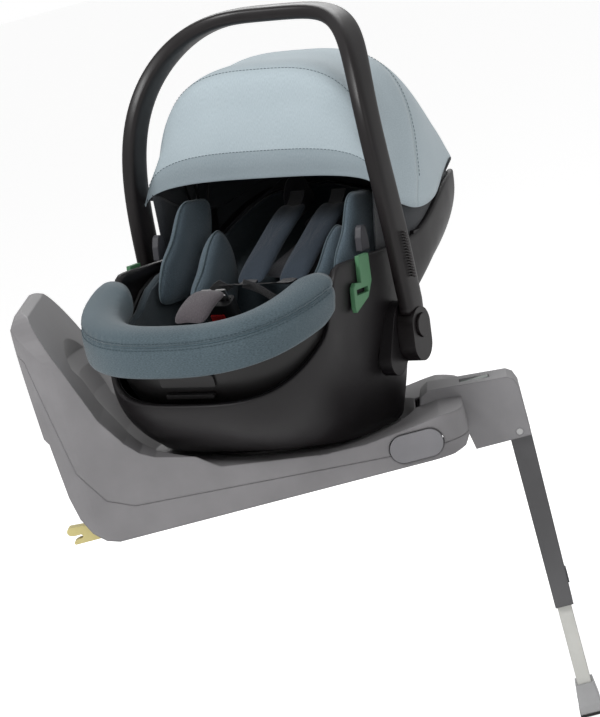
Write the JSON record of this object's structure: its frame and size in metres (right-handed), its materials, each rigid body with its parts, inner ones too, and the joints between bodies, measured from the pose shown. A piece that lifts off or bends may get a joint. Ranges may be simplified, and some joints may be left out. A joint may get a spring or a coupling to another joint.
{
  "type": "infant car seat",
  "caption": "Rear-facing infant carrier with folding canopy and swinging handle, latched on a swivelling anchor base with a telescopic support leg.",
  "frame": {"origin": "underside of the base below the middle of the turntable", "axes": "+Z square to the underside and up, +Y towards the support leg, X across the base; the turntable's axis leans 8 degrees towards +Y"},
  "size_m": [0.7307, 0.689, 1.1451],
  "materials": {
    "casing_grey": "matte",
    "rubber_dark": "matte",
    "steel": "satin",
    "connector_yellow": "matte",
    "button_grey": "matte",
    "indicator_green": "gloss",
    "leg_silver": "satin",
    "foot_grey": "matte",
    "turntable_dark": "matte",
    "shell_dark": "matte",
    "tub_dark": "matte",
    "handle_dark": "satin",
    "guide_green": "satin",
    "bow_grey": "satin",
    "canopy_cloth": "woven",
    "bolster_cloth": "woven",
    "lining_cloth": "woven",
    "pad_cloth": "woven",
    "back_cloth": "woven",
    "strap_pad": "woven",
    "crotch_cloth": "woven",
    "buckle_black": "satin",
    "button_red": "gloss"
  },
  "bodies": {
    "base": {"base_lower_casing": "casing_grey", "base_upper_casing": "casing_grey", "base_mat": "rubber_dark", "casing_screws": "steel", "leg_arm": "casing_grey", "leg_indicator": "indicator_green", "leg_hinge_pin": "steel", "turntable_axle": "steel"},
    "connector_left": {"isofix_arm_left": "steel", "isofix_connector_left": "connector_yellow"},
    "connector_right": {"isofix_arm_right": "steel", "isofix_connector_right": "connector_yellow"},
    "connector_release_left": {"isofix_release_left": "button_grey"},
    "connector_release_right": {"isofix_release_right": "button_grey"},
    "knob_left": {"swivel_knob_left": "casing_grey"},
    "knob_right": {"swivel_knob_right": "casing_grey"},
    "leg_upper": {"leg_outer_tube": "casing_grey"},
    "leg_lower": {"leg_inner_tube": "leg_silver", "leg_foot": "foot_grey", "foot_sole": "rubber_dark"},
    "leg_button": {"leg_height_button": "button_grey"},
    "turntable": {"turntable": "turntable_dark"},
    "carrier": {"outer_shell": "shell_dark", "inner_tub": "tub_dark", "shell_glides": "rubber_dark", "adjuster_panel": "tub_dark", "handle_boss_left": "shell_dark", "handle_boss_right": "shell_dark", "pivot_pin_left": "steel", "pivot_pin_right": "steel", "belt_guide_left": "guide_green", "belt_guide_right": "guide_green", "canopy_bow_rear": "bow_grey", "canopy_brackets": "shell_dark", "canopy_hood": "canopy_cloth", "bolster": "bolster_cloth", "seat_lining": "lining_cloth", "backrest_pad": "back_cloth", "wing_pad_left": "pad_cloth", "wing_pad_right": "pad_cloth", "side_pad_left": "pad_cloth", "side_pad_right": "pad_cloth", "shoulder_pads": "strap_pad", "crotch_pad": "crotch_cloth", "buckle_body": "buckle_black", "buckle_tongues": "steel"},
    "lever": {"adjuster_lever": "tub_dark"},
    "handle": {"carry_handle": "handle_dark", "handle_hub_left": "handle_dark", "handle_hub_right": "handle_dark"},
    "handle_release_left": {"handle_button_left": "handle_dark"},
    "handle_release_right": {"handle_button_right": "handle_dark"},
    "tab_left": {"release_tab_left": "button_grey"},
    "tab_right": {"release_tab_right": "button_grey"},
    "canopy_front": {"canopy_bow_front": "bow_grey", "canopy_visor": "canopy_cloth"},
    "canopy_middle": {"canopy_bow_middle": "bow_grey", "canopy_panel": "canopy_cloth"},
    "head_support": {"headrest": "back_cloth"},
    "buckle_press": {"buckle_button": "button_red"}
  },
  "joints": [
    {"name": "swivel", "type": "hinge", "parent": "base", "child": "turntable", "pos_m": [0, 0, 0.058], "axis": [0, 0.1392, 0.9903], "range_deg": [-152, 28]},
    {"name": "carrier_lift", "type": "slide", "parent": "turntable", "child": "carrier", "axis": [0, 0.1392, 0.9903], "range_m": [0, 0.2]},
    {"name": "handle_turn", "type": "hinge", "parent": "carrier", "child": "handle", "pos_m": [-0.05298, 0.04905, 0.2046], "axis": [0.4695, 0.8744, -0.1229], "range_deg": [-100, 0]},
    {"name": "handle_release_left_press", "type": "slide", "parent": "handle", "child": "handle_release_left", "axis": [0.4695, 0.8744, -0.1229], "range_m": [0, 0.004], "stiffness_N_per_m": 400, "springref_m": -0.004},
    {"name": "handle_release_right_press", "type": "slide", "parent": "handle", "child": "handle_release_right", "axis": [-0.4695, -0.8744, 0.1229], "range_m": [0, 0.004], "stiffness_N_per_m": 400, "springref_m": -0.004},
    {"name": "tab_left_pull", "type": "slide", "parent": "carrier", "child": "tab_left", "axis": [0, 0.1392, 0.9903], "range_m": [0, 0.006], "stiffness_N_per_m": 400, "springref_m": -0.004},
    {"name": "tab_right_pull", "type": "slide", "parent": "carrier", "child": "tab_right", "axis": [0, 0.1392, 0.9903], "range_m": [0, 0.006], "stiffness_N_per_m": 400, "springref_m": -0.004},
    {"name": "canopy_fold", "type": "hinge", "parent": "carrier", "child": "canopy_front", "pos_m": [-0.14127, 0.11781, 0.35651], "axis": [0.4695, 0.8744, -0.1229], "range_deg": [-40, 0], "deforming": ["canopy_visor"]},
    {"name": "canopy_middle_fold", "type": "hinge", "parent": "carrier", "child": "canopy_middle", "pos_m": [-0.14127, 0.11781, 0.35651], "axis": [0.4695, 0.8744, -0.1229], "range_deg": [-22.5, 0], "deforming": ["canopy_panel"]},
    {"name": "headrest_height", "type": "slide", "parent": "carrier", "child": "head_support", "axis": [-0.8533, 0.4851, 0.1914], "range_m": [0, 0.035]},
    {"name": "buckle_press", "type": "slide", "parent": "carrier", "child": "buckle_press", "axis": [-0.7796, 0.4758, 0.4072], "range_m": [0, 0.003], "stiffness_N_per_m": 600, "springref_m": -0.003},
    {"name": "lever_pull", "type": "slide", "parent": "carrier", "child": "lever", "axis": [0.8829, -0.4649, 0.0653], "range_m": [0, 0.006], "stiffness_N_per_m": 400, "springref_m": -0.003},
    {"name": "connector_left_reach", "type": "slide", "parent": "base", "child": "connector_left", "axis": [0, -1, 0], "range_m": [-0.015, 0.06]},
    {"name": "connector_right_reach", "type": "slide", "parent": "base", "child": "connector_right", "axis": [0, -1, 0], "range_m": [-0.015, 0.06]},
    {"name": "connector_left_release", "type": "slide", "parent": "connector_left", "child": "connector_release_left", "axis": [1, 0, 0], "range_m": [0, 0.002], "stiffness_N_per_m": 400, "springref_m": -0.003},
    {"name": "connector_right_release", "type": "slide", "parent": "connector_right", "child": "connector_release_right", "axis": [-1, 0, 0], "range_m": [0, 0.002], "stiffness_N_per_m": 400, "springref_m": -0.003},
    {"name": "knob_left_press", "type": "slide", "parent": "base", "child": "knob_left", "axis": [1, 0, 0], "range_m": [0, 0.003], "stiffness_N_per_m": 600, "springref_m": -0.003},
    {"name": "knob_right_press", "type": "slide", "parent": "base", "child": "knob_right", "axis": [-1, 0, 0], "range_m": [0, 0.003], "stiffness_N_per_m": 600, "springref_m": -0.003},
    {"name": "leg_fold", "type": "hinge", "parent": "base", "child": "leg_upper", "pos_m": [0, 0.348, -0.018], "axis": [1, 0, 0], "range_deg": [-84, 0]},
    {"name": "leg_telescope", "type": "slide", "parent": "leg_upper", "child": "leg_lower", "axis": [0, 0, -1], "range_m": [-0.08, 0.05]},
    {"name": "leg_button_press", "type": "slide", "parent": "leg_upper", "child": "leg_button", "axis": [0, -1, 0], "range_m": [0, 0.0015], "stiffness_N_per_m": 600, "springref_m": -0.002}
  ],
  "couplings": [
    {"joint": "canopy_middle_fold", "follows": "canopy_fold", "ratio": 0.55}
  ]
}
